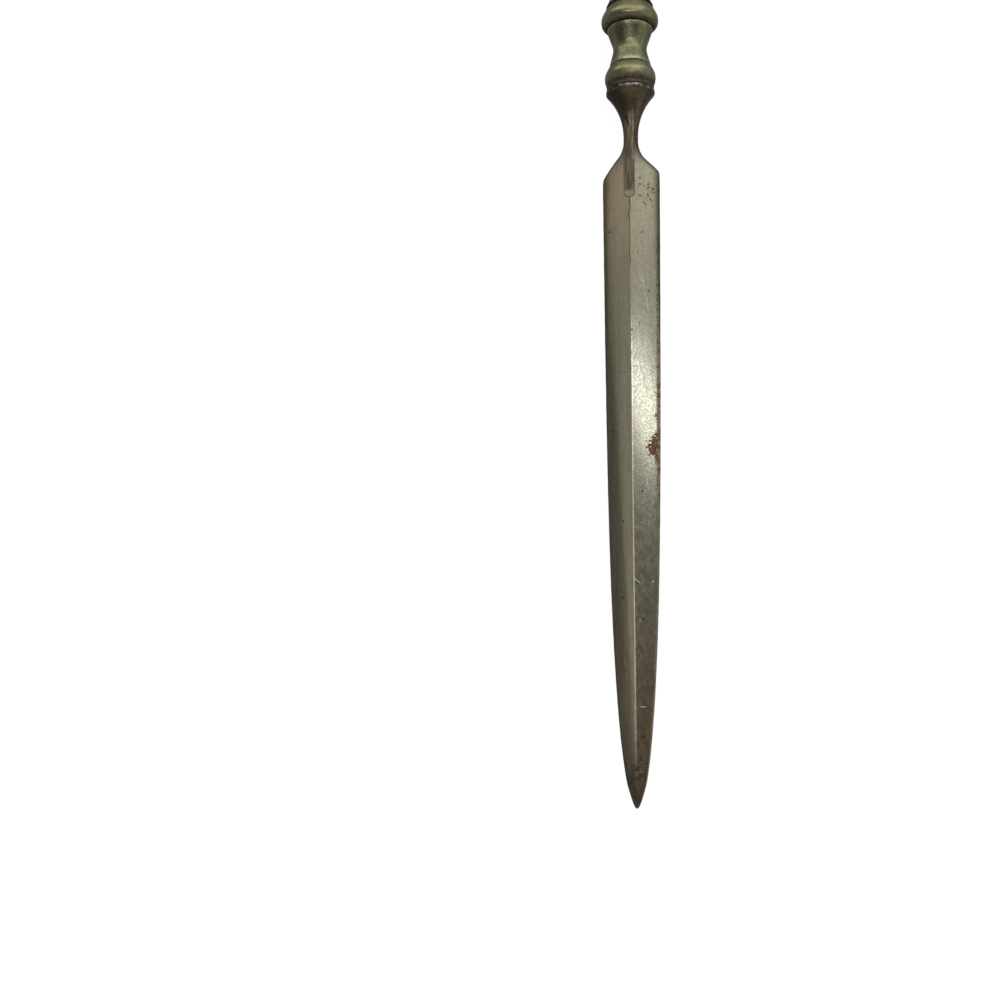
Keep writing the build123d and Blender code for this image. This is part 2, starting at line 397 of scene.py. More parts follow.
def buildForgedSteel():
    material, bench, shader = startMaterial("forgedSteel")
    places, gloss, relief = steelPlaces, steelGloss, steelRelief
    space = bench.pieceSpace()
    axes = bench.add("ShaderNodeSeparateXYZ", {"Vector": space}).outputs
    across, along = axes["X"], axes["Y"]
    upper = bench.ramp(axes["Z"], -0.05, 0.05)

    def byFacet(left, right, low=-0.3, high=0.2):
        # one share on the left of the ridge and another on the right
        return bench.ramp(across, low, high, left, right)

    def stretched(scale, *grain):
        return bench.noise(bench.scaled(space, scale), *grain)

    def patchy(scale, detail, low, high, least=0.0, full=1.0):
        return bench.ramp(bench.noise(space, scale, detail), low, high, least, full)

    blotch, speck, streak = placeTarnish(bench, space, 3.0, 0.24)
    grain = bench.ramp(stretched((1.0, 0.5, 1.0), 6.0, 2.0), 0.36, 0.6)
    fleck = bench.ramp(bench.noise(bench.drawn(space, -8, (0.11, 0.7, 1.0)), 1.0, 2.0), 0.62, 0.74)
    scored = bench.ramp(bench.noise(bench.drawn(space, 18, (0.1, 4.5, 1.0)), 1.0, 2.0), 0.66, 0.76)
    marks = bench.times(bench.most(fleck, scored), byFacet(0.35, 1.0, -0.6))
    cloud = bench.ramp(stretched((1.0, 0.6, 1.0), 1.3, 6.0, 0.65), 0.36, 0.62)

    # polished blade, browner toward the tip on the right, tan beside the tongue, stained on the left of the tip
    colour = bench.coat(steel["pale"], bench.times(blotch, byFacet(0.4, 0.08)), steel["warm"])
    colour = bench.coat(colour, streak, steel["dull"], 0.25)
    colour = bench.coat(colour, grain, steel["dull"], 0.48)
    bands = bench.ramp(stretched((1.0, 0.04, 1.0), 1.7, 3.0, 0.6), 0.42, 0.62)
    colour = bench.coat(colour, bench.times(bands, byFacet(0.7, 0.1)), steel["bronze"])
    dappled = bench.times(cloud, byFacet(0.3, 1.0))
    dappled = bench.times(dappled, bench.ramp(along, *places["dapple"], 0.55, 0.22))
    colour = bench.coat(colour, dappled, steel["shadow"])
    colour = bench.coat(colour, marks, steel["bright"], 0.7)
    tan = bench.times(bench.ramp(along, *places["tan"]), byFacet(0.75, 0.1, -0.5, 0.1))
    tan = bench.times(tan, bench.ramp(blotch, 0.0, 1.0, 0.45, 1.2))
    colour = bench.coat(colour, tan, steel["tan"])
    brown = bench.coat(steel["brown"], cloud, steel["shadow"], 0.6)
    brown = bench.coat(brown, marks, steel["bright"], 0.35)
    toTip = bench.ramp(along, *places["brownTip"], 0.9, 0.0)
    colour = bench.coat(colour, bench.times(toTip, byFacet(0.2, 1.0, -0.2, 0.3)), brown)
    frayed = bench.timesPlus(bench.noise(space, 1.3, 6.0, 0.65), 14.0, along)
    toStain = bench.ramp(frayed, *places["stain"], 0.5, 0.0)
    colour = bench.coat(colour, bench.times(toStain, byFacet(1.0, 0.25, -0.4, 0.5)), steel["stain"])

    # distance from the ridge line, and from the outline of the tongue
    fromRidge = bench.timesPlus(along, blade["ridgeOffset"] / blade["length"], across)
    past = bench.math("MINIMUM", bench.minus(along, tongueBend), 0.0)
    gap = bench.math("SQRT", bench.timesPlus(past, past, bench.times(fromRidge, fromRidge)))
    gap = bench.minus(gap, bench.ramp(along, *blade["tongueTaper"], tongueWide, tongueSlim))
    # painted highlight down the right side of the ridge, in the pale colour of the scratches
    ridgeHighlight = bench.times(bench.window(fromRidge, 0.0, 0.13, 0.06), bench.window(along, *places["ridgeHighlight"], 3.0))
    ridgeHighlight = bench.times(ridgeHighlight, patchy(1.1, 4.0, 0.34, 0.6, 0.25, 0.9))
    colour = bench.coat(colour, ridgeHighlight, steel["nick"])

    # flat of the tongue, neck and bolster keep their dark skin
    tongue = bench.times(bench.ramp(gap, -0.04, 0.03, 1.0, 0.0), bench.ramp(along, *places["tongue"], 1.0, 0.0))
    # dark line round the tongue's edge: dirt at its foot, with painted shade of the step
    outline = bench.times(bench.window(gap, -0.01, 0.09, 0.05), bench.ramp(along, *places["outline"], 0.85, 0.0))
    mottle = bench.ramp(stretched((1.0, 0.16, 1.0), 2.6, 5.0, 0.6), 0.4, 0.66)
    skin = bench.coat(steel["tongue"], mottle, steel["tonguePale"])
    shaded = bench.times(bench.ramp(along, *places["neckShade"]), byFacet(0.7, 0.0, -0.75, -0.1))
    skin = bench.coat(skin, shaded, steel["sootAndShade"])
    bareEnd = bench.ramp(along, tongueEnd + 0.7, tongueEnd + 1.3, 0.75, 0.0)
    skin = bench.coat(skin, bareEnd, steel["warm"])
    colour = bench.coat(colour, tongue, skin, 0.95)
    toNeck = bench.ramp(along, *places["neck"])
    bolster = bench.coat(steel["bolster"], streak, steel["bolsterGrey"], 0.7)
    # painted shade down the bolster's left side and toward its right side
    bolster = bench.coat(bolster, byFacet(0.85, 0.1, -2.6, 0.4), steel["sootAndShade"])
    bolster = bench.coat(bolster, byFacet(0.0, 0.42, 0.6, 2.4), steel["sootAndShade"])
    colour = bench.coat(colour, bench.times(toNeck, bench.minus(1.0, tongue)), bolster)
    # painted highlight along the right edge of the neck's flat
    brightPatch = bench.times(bench.window(across, 0.3, 0.44, 0.08), bench.window(along, *places["neckHighlight"], 0.8))
    brightPatch = bench.times(brightPatch, patchy(1.6, 3.0, 0.36, 0.55))
    colour = bench.coat(colour, brightPatch, steel["bright"], 0.8)
    lip = bench.coat(steel["lip"], patchy(1.7, 4.0, 0.48, 0.62), steel["lipWorn"])
    colour = bench.coat(colour, bench.ramp(along, flareEnd - 0.06, flareEnd + 0.06), lip)

    # rust in spots and along the edge
    fine = bench.mixValue(0.45, bench.noise(space, 1.2, 3.0), bench.noise(space, 3.4, 5.0, 0.7))
    spots = bench.most(spotMask(bench, space, rustSpots), bench.attribute("edge"))
    rusty = bench.timesPlus(bench.minus(fine, 0.5), 4.5, bench.times(spots, upper))
    rusty = bench.times(bench.ramp(rusty, 0.34, 0.44), bench.ramp(spots, 0.0, 0.12))
    ochre = bench.times(patchy(4.0, 3.0, 0.4, 0.6), bench.ramp(along, *places["ochre"], 0.12, 1.0))
    rustTone = bench.coat(steel["rustDark"], ochre, steel["rust"])
    rustTone = bench.coat(rustTone, bench.ramp(along, *places["tipRust"], 0.8, 0.0), steel["tipRust"])
    # scratches and pits
    nick = bench.times(bench.ramp(spotMask(bench, space, scratches), 0.0, 0.4), upper)
    nick = bench.times(nick, patchy(3.0, 3.0, 0.35, 0.55, 0.3, 1.0))
    pit = placePits(bench, bench.scaled(space, (1.0, 0.8, 0.0)), 1.3, 0.125)
    finePit = placePits(bench, bench.scaled(space, (1.0, 0.9, 0.0)), 0.5, 0.16)
    pit = bench.most(pit, bench.times(finePit, 0.55))
    stung = bench.times(bench.ramp(spotMask(bench, space, pitSpots), 0.05, 0.4), upper)
    pit = bench.most(pit, stung)
    # dark crack that wanders down the ridge below the tongue
    wander = bench.minus(stretched((0.0, 0.6, 0.0), 1.0, 3.0), 0.5)
    drift = bench.math("ABSOLUTE", bench.timesPlus(wander, 0.6, fromRidge))
    drift = bench.minus(drift, bench.ramp(along, *places["crackWidens"], 0.05, 0.1))
    crack = bench.times(bench.ramp(drift, -0.04, 0.04, 1.0, 0.0), bench.window(along, *places["crack"], 0.8))
    crack = bench.times(crack, patchy(1.2, 3.0, 0.32, 0.5, 0.3, 0.95))
    grimeAndShade = bench.most(bench.attribute("grimeAndShade"), bench.most(crack, outline))
    colour = bench.coat(colour, nick, steel["nick"], 0.8)
    colour = bench.coat(colour, rusty, rustTone)
    colour = bench.coat(colour, pit, steel["sootAndShade"], 0.7)
    colour = bench.coat(colour, grimeAndShade, steel["sootAndShade"])
    bench.join(colour, shader.inputs["Base Color"])

    rough = bench.mixValue(speck, gloss["body"], gloss["speck"])
    rough = bench.mixValue(bench.times(grain, 0.5), rough, gloss["grain"])
    rough = bench.mixValue(bench.times(marks, 0.7), rough, gloss["marks"])
    rough = bench.mixValue(bench.most(tongue, toNeck), rough, gloss["skin"])
    rough = bench.mixValue(nick, rough, gloss["nick"])
    rough = bench.mixValue(rusty, rough, gloss["rust"])
    bench.join(rough, shader.inputs["Roughness"])
    notMetal = bench.most(rusty, bench.times(grimeAndShade, 0.6))
    bench.join(bench.minus(1.0, notMetal), shader.inputs["Metallic"])
    # hand-ground waves and fine marks
    height = bench.times(stretched((1.0, 0.4, 1.0), 0.8, 2.0), relief["waves"])
    for mask, name in ((grain, "grain"), (marks, "marks"), (rusty, "rust"), (pit, "pits")):
        height = bench.timesPlus(mask, relief[name], height)
    height = bench.timesPlus(bench.times(mottle, tongue), relief["skin"], height)
    addBump(bench, shader, height, relief["distance"], relief["strength"])
    return material


# what the washer and the brass pieces have in common
turnedFinish = {
    "sootAndShade": (0.035, 0.027, 0.015, 1), "speckSize": 0.3, "pitSpacing": 0.9, "pitSize": 0.13,
    "speckGloss": 0.12, "wornGloss": 0.26, "grimeAndShadeGloss": 0.8, "grimeAndShadeDull": 0.7,
    "streakRelief": 0.4, "speckRelief": 0.6, "bump": 0.00003,
}


def buildTurnedMetal(name, tone):
    material, bench, shader = startMaterial(name)
    shared = turnedFinish
    space = bench.pieceSpace()
    blotch, speck, streak = placeTarnish(bench, space, tone["blotchSize"], shared["speckSize"])
    pit = placePits(bench, space, shared["pitSpacing"], shared["pitSize"])
    wear, grimeAndShade = placeHandling(bench, space)
    colour = bench.coat(tone["body"], blotch, tone["shade"], tone["blotch"])
    colour = bench.coat(colour, speck, tone["shade"], tone["speck"])
    colour = bench.coat(colour, streak, tone["worn"], tone["streak"])
    colour = bench.coat(colour, pit, shared["sootAndShade"], tone["pits"])
    colour = bench.coat(colour, wear, tone["worn"])
    colour = bench.coat(colour, grimeAndShade, shared["sootAndShade"])
    bench.join(colour, shader.inputs["Base Color"])
    rough = bench.mixValue(speck, tone["gloss"], tone["gloss"] + shared["speckGloss"])
    rough = bench.mixValue(wear, rough, shared["wornGloss"])
    rough = bench.mixValue(grimeAndShade, rough, shared["grimeAndShadeGloss"])
    bench.join(rough, shader.inputs["Roughness"])
    bench.join(bench.minus(1.0, bench.times(grimeAndShade, shared["grimeAndShadeDull"])), shader.inputs["Metallic"])
    height = bench.minus(bench.times(streak, shared["streakRelief"]), bench.times(speck, shared["speckRelief"]))
    addBump(bench, shader, bench.minus(height, pit), shared["bump"], tone["relief"])
    return material


washerTone = {
    "body": (0.115, 0.092, 0.078, 1), "shade": (0.06, 0.047, 0.038, 1), "worn": (0.3, 0.265, 0.225, 1),
    "blotchSize": 1.2, "blotch": 0.7, "speck": 0.5, "streak": 0.1, "pits": 0.3, "gloss": 0.4, "relief": 0.3,
}
beadTone = {
    "body": (0.262, 0.242, 0.13, 1), "shade": (0.155, 0.138, 0.07, 1), "worn": (0.38, 0.355, 0.22, 1),
    "blotchSize": 2.2, "blotch": 0.3, "speck": 0.22, "streak": 0.1, "pits": 0.5, "gloss": 0.21, "relief": 0.2,
}
spoolTone = {
    "body": (0.205, 0.2, 0.104, 1), "shade": (0.1, 0.095, 0.046, 1), "worn": (0.47, 0.46, 0.285, 1),
    "blotchSize": 1.3, "blotch": 0.4, "speck": 0.35, "streak": 0.22, "pits": 0.6, "gloss": 0.22, "relief": 0.45,
}

forgedSteel = buildForgedSteel()
washerSteel = buildTurnedMetal("washerSteel", washerTone)
agedBrass = buildTurnedMetal("agedBrass", beadTone)
wornBrass = buildTurnedMetal("wornBrass", spoolTone)
print("materials ready")


# Blade forging


def halfWidth(p):
    left = max(1 - p / blade["length"], 0)
    worn = 1 - blade["tipWear"] * (1 - smoothStep(*blade["tipWearRun"], p))
    return worn * (halfBlade - blade["narrowing"] / 2 * left) * math.sqrt(max(1 - left ** blade["fullness"], 0))


def ridgeHeight(p):
    rise = (blade["ridge"] - blade["foot"]) / 2
    return blade["foot"] / 2 + rise * halfWidth(p) / halfBlade


def ridgeShift(p):
    return -blade["ridgeOffset"] * min(p / blade["length"], 1)


def shoulderRadius(p, degrees):
    # reach of the shoulder from the axis, down a slope and round into the neck
    slope = math.radians(degrees)
    fillet = blade["neckSweep"]
    foot = (halfNeck + fillet * (1 - math.cos(slope)), neckStart - fillet * math.sin(slope))
    if p >= neckStart:
        return halfNeck
    if p >= foot[1]:
        return halfNeck + fillet - math.sqrt(fillet**2 - (neckStart - p) ** 2)
    straight = foot[0] + (foot[1] - p) * math.tan(slope)
    # corner rounded by a soft minimum against the blade's own edge
    soft = blade["shoulderRound"] * 0.22
    gap = straight - halfBlade
    if gap <= -6 * soft:
        return straight
    return halfBlade + gap - (gap + math.sqrt(gap * gap + 4 * soft * soft)) / 2


def reach(p, side):
    # distance from the axis to the outline on one side
    if p >= neckEnd:
        return blade["flareCurve"] + halfNeck - math.sqrt(max(blade["flareCurve"] ** 2 - (p - neckEnd) ** 2, 0))
    degrees = blade["rightShoulder"] if side > 0 else blade["leftShoulder"]
    edge = halfWidth(p)
    if p > blade["length"] - 6:
        edge = min(edge, shoulderRadius(p, degrees))
    wave = noise.noise(Vector((p * 0.9, side * 7.3, 1.7))) * blade["wobble"]
    return edge + wave * smoothStep(*blade["wobbleRise"], p) * (1 - smoothStep(*blade["wobbleFade"], p))


def bandFraction(p):
    return blade["bandPlace"] + sum(shift * smoothStep(low, high, p) for low, high, shift in blade["bandShifts"])


def groundBand(p):
    kept = 1 - blade["bandLoss"] * smoothStep(*blade["bandFade"], p)
    return blade["band"] * halfWidth(min(p, blade["length"])) / halfBlade * kept


def ridgeWear(p):
    kept = 1 - blade["ridgeWearLoss"] * smoothStep(*blade["ridgeWearFade"], p)
    return blade["ridgeWear"] * smoothStep(*blade["ridgeWearRise"], p) * kept


def roundedPeak(t, peak, soft):
    # rises from 0 to 1 at the peak and falls to 0 at t = 1, rounded over the peak
    up, down = 1 / peak, -1 / (1 - peak)
    offset = t - peak
    if abs(offset) < soft:
        return 1 + up * offset + (down - up) * (offset + soft) ** 2 / (4 * soft)
    return 1 + (up if offset < 0 else down) * offset


def facetHeight(x, p):
    # crowned facet from the worn ridge down to the narrow bevel along the edge
    half = halfWidth(min(p, blade["length"]))
    ridge = ridgeHeight(min(p, blade["length"]))
    scale = half / halfBlade
    bevel = blade["bevel"] * scale
    foot = blade["foot"] / 2
    bevelHeight = foot + (ridge - foot) * bevel / half
    inner = half - bevel
    top = ridgeShift(p)
    wear = min(ridgeWear(p), 0.3 * inner)
    slopes = []
    for side in (1, -1):
        run = inner - side * top
        rise = 4 * blade["crown"] * scale
        if side < 0:
            rise += groundBand(p) / bandFraction(p)
        slopes.append((ridge - bevelHeight - rise) / run)
    offset = x - top
    if abs(offset) < wear:
        lean = (slopes[0] - slopes[1]) / 2
        bend = (slopes[0] + slopes[1]) / (4 * wear)
        return ridge - (slopes[0] + slopes[1]) * wear / 4 - lean * offset - bend * offset * offset
    side = 1 if offset >= 0 else -1
    run = inner - side * top
    t = offset * side / run
    if t <= 1:
        height = ridge + (bevelHeight - ridge) * t + 4 * blade["crown"] * scale * t * (1 - t)
        if side < 0:
            band = bandFraction(p)
            soft = blendTo(*blade["bandRound"], smoothStep(*blade["bandRoundFade"], p))
            soft = min(soft, 0.8 * band, 0.8 * (1 - band))
            height += groundBand(p) * roundedPeak(t, band, soft)
        return height
    down = min((t - 1) * run / bevel, 1.2)
    return bevelHeight + (blade["edge"] / 2 - bevelHeight) * down


def tongueHalf(p):
    half = blendTo(tongueWide, tongueSlim, smoothStep(*blade["tongueTaper"], p))
    if p >= tongueBend:
        return half
    if p <= tongueEnd:
        return 0
    return math.sqrt(half**2 - (tongueBend - p) ** 2)


def turnAt(x, radius):
    return math.acos(min(max(x / radius, -1), 1))


def sectionColumns(p):
    # angles of the section's points from the right edge over the top to the left edge
    count = blade["columns"]
    middle = ridgeShift(p)
    half = max(tongueHalf(p), ridgeWear(p), 0.04)
    step = 0.05
    right, left = reach(p, 1), reach(p, -1)

    def side(radius, inward, sign):
        # wall, facet and tongue step of one side, as distances from the axis
        stepOut = inward + step
        low, high = 0.0, math.pi / 2
        for _ in range(40):
            turn = (low + high) / 2
            if radius * math.sin(turn) < facetHeight(sign * radius * math.cos(turn), p):
                low = turn
            else:
                high = turn
        cross = radius * math.cos(low)
        start = min(max(cross, stepOut + 0.02), radius * 0.9999)
        wallTurn = turnAt(start, radius)
        points = [wallTurn * k / count["wall"] for k in range(count["wall"])]
        for k in range(count["facet"] + 1):
            t = k / count["facet"]
            eased = t * t * (1.6 - 0.6 * t) if t < 1 else 1
            points.append(turnAt(blendTo(start, stepOut, eased), radius))
        for k in range(1, count["step"]):
            points.append(turnAt(blendTo(stepOut, inward, k / count["step"]), radius))
        return points

    rightPoints = side(right, middle + half, 1)
    leftPoints = side(left, half - middle, -1)
    flat = []
    for k in range(count["flat"] + 1):
        x = blendTo(middle + half, middle - half, k / count["flat"])
        flat.append(turnAt(x, right if x >= 0 else left))
    angles = rightPoints + flat + [math.pi - a for a in reversed(leftPoints)]
    even = [math.pi * i / (len(angles) - 1) for i in range(len(angles))]
    toRound = smoothStep(*blade["toRound"], p)
    return [blendTo(a, b, toRound) for a, b in zip(angles, even)]


def bladeHeight(x, turn, radius, p):
    body = radius * math.sin(turn)
    if p < neckStart + blade["neckLength"] / 2:
        body = min(body, facetHeight(x, p))
    half = tongueHalf(p)
    if half > 0 and p < blade["tongueTop"]:
        over = max(abs(x - ridgeShift(p)) - half, 0)
        body = max(blade["tongueThickness"] / 2 - over * blade["tongueWall"], body)
    return body


def bladeStations():
    # closer rings where the shape turns: at the tip, the tongue's end, the shoulders and the neck
    tipRun, steps = 6, 26
    first = blade["blunting"]
    stations = [first + (tipRun - first) * (k / steps) ** 2 for k in range(steps)]
    runs = [(tipRun, 0.45), (tongueEnd - 0.4, 0.05), (tongueEnd + 1.0, 0.25), (87.0, 0.09), (92.5, 0.11)]
    ends = [start for start, _ in runs[1:]] + [flareEnd]
    for (start, gap), end in zip(runs, ends):
        steps = max(int(round((end - start) / gap)), 1)
        stations += [start + (end - start) * k / steps for k in range(steps)]
    return stations


# dirt and rust that gather along the edges, with painted shade in the dark line down the left edge: strength, spread
# in from the edge, stations where they grow
edgeDirtAndShade = {
    "left": 0.45, "leftMore": 0.45, "leftGrow": (40, 62), "leftSpread": 0.28,
    "right": 0.97, "rightGrow": (56, 72), "rightSpread": 0.34, "rightWiden": 0.32, "rightWidenRun": (66, 80),
    "neck": 0.9, "neckLeft": 0.38, "neckRight": 0.62, "underside": 0.8,
}
edgeRust = {"base": 0.24, "more": 0.22, "grow": (40, 44), "moreGrow": (42, 47), "moreFade": (57, 63), "spread": 0.5}


def dirtAndShadeAt(x, p, gap):
    if p >= neckEnd + 1:
        return 0.0
    if p >= blade["length"]:
        return edgeDirtAndShade["neck"] * bell(gap, edgeDirtAndShade["neckLeft"] if x < 0 else edgeDirtAndShade["neckRight"])
    if x < 0:
        strength = edgeDirtAndShade["left"] + edgeDirtAndShade["leftMore"] * smoothStep(*edgeDirtAndShade["leftGrow"], p)
        return strength * bell(gap, edgeDirtAndShade["leftSpread"])
    spread = edgeDirtAndShade["rightSpread"] + edgeDirtAndShade["rightWiden"] * smoothStep(*edgeDirtAndShade["rightWidenRun"], p)
    return edgeDirtAndShade["right"] * smoothStep(*edgeDirtAndShade["rightGrow"], p) * bell(gap, spread)


def rustAt(x, p, gap):
    if x <= 0 or p >= blade["length"]:
        return 0.0
    more = smoothStep(*edgeRust["moreGrow"], p) * (1 - smoothStep(*edgeRust["moreFade"], p))
    strength = (edgeRust["base"] + edgeRust["more"] * more) * smoothStep(*edgeRust["grow"], p)
    return strength * bell(gap, edgeRust["spread"])


def makeBlade():
    verts, faces, grimeAndShade, edge = [], [], [], []
    rings = []

    def ring(points):
        first = len(verts)
        for x, p, z, dirtAndShade, rim in points:
            verts.append((x, p, z))
            grimeAndShade.append(dirtAndShade)
            edge.append(rim)
        rings.append((first, len(points)))

    for p in bladeStations():
        angles = sectionColumns(p)
        upper = []
        for i, turn in enumerate(angles):
            radius = reach(p, 1 if turn <= math.pi / 2 else -1)
            x = radius * math.cos(turn)
            z = bladeHeight(x, turn, radius, p)
            if i in (0, len(angles) - 1):
                z = 0
            gap = radius - abs(x)
            upper.append((x, p, z, dirtAndShadeAt(x, p, gap), rustAt(x, p, gap)))
        lower = [(x, p, -z, dirtAndShade * edgeDirtAndShade["underside"], rim) for x, p, z, dirtAndShade, rim in upper[1:-1]]
        ring(upper + list(reversed(lower)))

    # bolster's lip and the tang: radius, station, dirt with painted shade at the seams
    around = rings[-1][1]
    lipRadius, chamfer, tangRadius = blade["lip"] / 2, blade["lipChamfer"], blade["tang"] / 2
    soft, tangChamfer = 0.04, 0.2
    turnedTail = [
        (blade["flare"] / 2, flareEnd, 0.5),
        (lipRadius - soft, flareEnd + chamfer * 0.8, 0.3),
        (lipRadius, flareEnd + chamfer + soft, 0.1),
        (lipRadius, seat - chamfer - soft, 0.1),
        (lipRadius - soft, seat - chamfer * 0.75, 0.2),
        (lipRadius - chamfer, seat, 0.9),
        (tangRadius, seat, 1.0),
        (tangRadius, blade["tangEnd"] - tangChamfer, 1.0),
        (tangRadius - tangChamfer, blade["tangEnd"], 1.0),
    ]
    for radius, p, dirtAndShade in turnedTail:
        points = []
        for k in range(around):
            turn = 2 * math.pi * k / around
            points.append((radius * math.cos(turn), p, radius * math.sin(turn), dirtAndShade, 0.0))
        ring(points)
    for (a, n), (b, _) in zip(rings, rings[1:]):
        for k in range(n):
            nxt = (k + 1) % n
            faces.append((a + k, b + k, b + nxt, a + nxt))
    first, n = rings[0]
    faces.append(tuple(first + k for k in range(n)))
    last, n = rings[-1]
    faces.append(tuple(last + k for k in reversed(range(n))))

    mesh = bpy.data.meshes.new("forgedBlade")
    mesh.from_pydata(verts, [], faces)
    for name, values in (("grimeAndShade", grimeAndShade), ("edge", edge)):
        mesh.attributes.new(name, "FLOAT", "POINT").data.foreach_set("value", values)
    mesh.transform(lieMatrix)
    return mesh


def finishMesh(mesh, sharpDegrees):
    mesh.validate()
    mesh.update()
    for polygon in mesh.polygons:
        polygon.use_smooth = True
    mesh.set_sharp_from_angle(angle=math.radians(sharpDegrees))


def addPiece(name, mesh, material, node):
    piece = addObject(name, mesh)
    mesh.materials.clear()
    mesh.materials.append(material)
    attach(piece, "root")
    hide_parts(node)
    return piece


bladeMesh = makeBlade()
finishMesh(bladeMesh, blade["sharp"])
addPiece("forgedBlade", bladeMesh, forgedSteel, "blade")
print("blade ready:", len(bladeMesh.polygons), "faces")


# Turned pieces: one lathe tree spins a profile of radius and station round the opener's axis

turning = {
    "segments": 144, "dentSize": 2.4, "dentMiddle": 0.62, "weld": 0.0005, "sharp": 40, "clearance": 0.1,
    "endCalm": 0.3, "seamGrimeAndShade": 0.95, "crestSpread": 0.25, "rimGap": 0.3, "rimSpread": 0.22,
}


def buildLathe():
    tree = bpy.data.node_groups.new("latheTurning", "GeometryNodeTree")
    sockets = [
        ("Profile", "Geometry", None), ("Segments", "Int", 128), ("Dent Depth", "Float", 0.02),
        ("Dent Size", "Float", 2.0), ("Seed", "Float", 0.0), ("Finish", "Material", None),
    ]
    for label, kind, default in sockets:
        socket = tree.interface.new_socket(label, in_out="INPUT", socket_type="NodeSocket" + kind)
        if default is not None:
            socket.default_value = default
    tree.interface.new_socket("Geometry", in_out="OUTPUT", socket_type="NodeSocketGeometry")
    bench = NodeBench(tree)
    source = bench.add("NodeGroupInput").outputs
    size = bench.add("GeometryNodeAttributeDomainSize", {"Geometry": source["Profile"]}, component="MESH")
    count = size.outputs["Point Count"]
    columns = bench.math("ADD", source["Segments"], 1.0)
    grid = bench.add("GeometryNodeMeshGrid", {"Vertices X": columns, "Vertices Y": count})
    index = bench.add("GeometryNodeInputIndex").outputs[0]
    row = bench.math("FLOORED_MODULO", index, count)
    column = bench.math("FLOOR", bench.math("DIVIDE", bench.math("ADD", index, 0.5), count))
    turn = bench.math("DIVIDE", bench.times(column, 2 * math.pi), source["Segments"])

    def sample(value, kind):
        inputs = {"Geometry": source["Profile"], "Value": value, "Index": row}
        return bench.add("GeometryNodeSampleIndex", inputs, data_type=kind, domain="POINT").outputs["Value"]

    def named(name):
        node = bench.add("GeometryNodeInputNamedAttribute", {"Name": name}, data_type="FLOAT")
        return sample(node.outputs["Attribute"], "FLOAT")

    position = sample(bench.add("GeometryNodeInputPosition").outputs[0], "FLOAT_VECTOR")
    point = bench.add("ShaderNodeSeparateXYZ", {0: position})
    radius, station = point.outputs["X"], point.outputs["Y"]
    cosine, sine = bench.math("COSINE", turn), bench.math("SINE", turn)

    def spun(length):
        inputs = {"X": bench.times(length, cosine), "Y": station, "Z": bench.times(length, sine)}
        return bench.add("ShaderNodeCombineXYZ", inputs).outputs[0]

    # shallow dents, pushed in or out along the radius
    scale = bench.math("DIVIDE", 1.0, source["Dent Size"])
    inputs = {"Vector": spun(radius), "W": source["Seed"], "Scale": scale, "Detail": 2}
    dents = bench.add("ShaderNodeTexNoise", inputs, noise_dimensions="4D").outputs["Fac"]
    push = bench.times(bench.minus(dents, turning["dentMiddle"]), source["Dent Depth"])
    push = bench.times(bench.times(push, named("outside")), 2.0)
    inputs = {"Geometry": grid.outputs["Mesh"], "Position": spun(bench.math("ADD", radius, push))}
    last = bench.add("GeometryNodeSetPosition", inputs)
    for name in ("grimeAndShade", "wear"):
        inputs = {"Geometry": last.outputs["Geometry"], "Name": name, "Value": named(name)}
        last = bench.add("GeometryNodeStoreNamedAttribute", inputs, data_type="FLOAT", domain="POINT")
    inputs = {"Geometry": last.outputs["Geometry"], "Distance": turning["weld"]}
    weld = bench.add("GeometryNodeMergeByDistance", inputs)
    realize = bench.add("GeometryNodeRealizeInstances", {"Geometry": weld.outputs["Geometry"]})
    inputs = {"Geometry": realize.outputs["Geometry"], "Material": source["Finish"]}
    coated = bench.add("GeometryNodeSetMaterial", inputs)
    bench.add("NodeGroupOutput", {"Geometry": coated.outputs["Geometry"]})
    return tree


latheTree = buildLathe()
boreRadius = blade["tang"] / 2 + turning["clearance"]


def steppedTo(a, b, steps):
    # even steps from one point to another, without the first
    return [(blendTo(a[0], b[0], k / steps), blendTo(a[1], b[1], k / steps)) for k in range(1, steps + 1)]


def taperFrom(crest, end, curve, steps=16):
    # arc over a crest, or round a waist where the curve is negative, then straight to the end
    centre = crest[0] - curve
    across = math.copysign(end[0] - centre, curve * (end[0] - centre))
    along = end[1] - crest[1]
    turn = math.atan2(abs(along), across) - math.acos(abs(curve) / math.hypot(across, along))
    points = []
    for k in range(steps + 1):
        a = turn * k / steps
        points.append((centre + curve * math.cos(a), crest[1] + math.copysign(abs(curve) * math.sin(a), along)))
    last = points[-1]
    straight = max(int(math.dist(last, end) / 0.4), 3)
    return points + steppedTo(last, end, straight)


def softened(points, lowCut, highCut):
    # the first and last corners of an outer profile rolled over, as handling leaves them
    def rolled(run, cut):
        kept = [q for q in run if math.dist(q, run[0]) > cut]
        corner = run[0]
        toNext = Vector((kept[0][0] - corner[0], kept[0][1] - corner[1])).normalized()
        outer = Vector(corner) + toNext * cut
        inner = Vector((corner[0] - cut, corner[1]))
        bend = []
        for k in range(6):
            t = k / 6
            bend.append(tuple(inner * (1 - t) ** 2 + Vector(corner) * 2 * t * (1 - t) + outer * t * t))
        return bend + [tuple(outer)] + kept

    points = rolled(points, lowCut)
    return list(reversed(rolled(list(reversed(points)), highCut)))


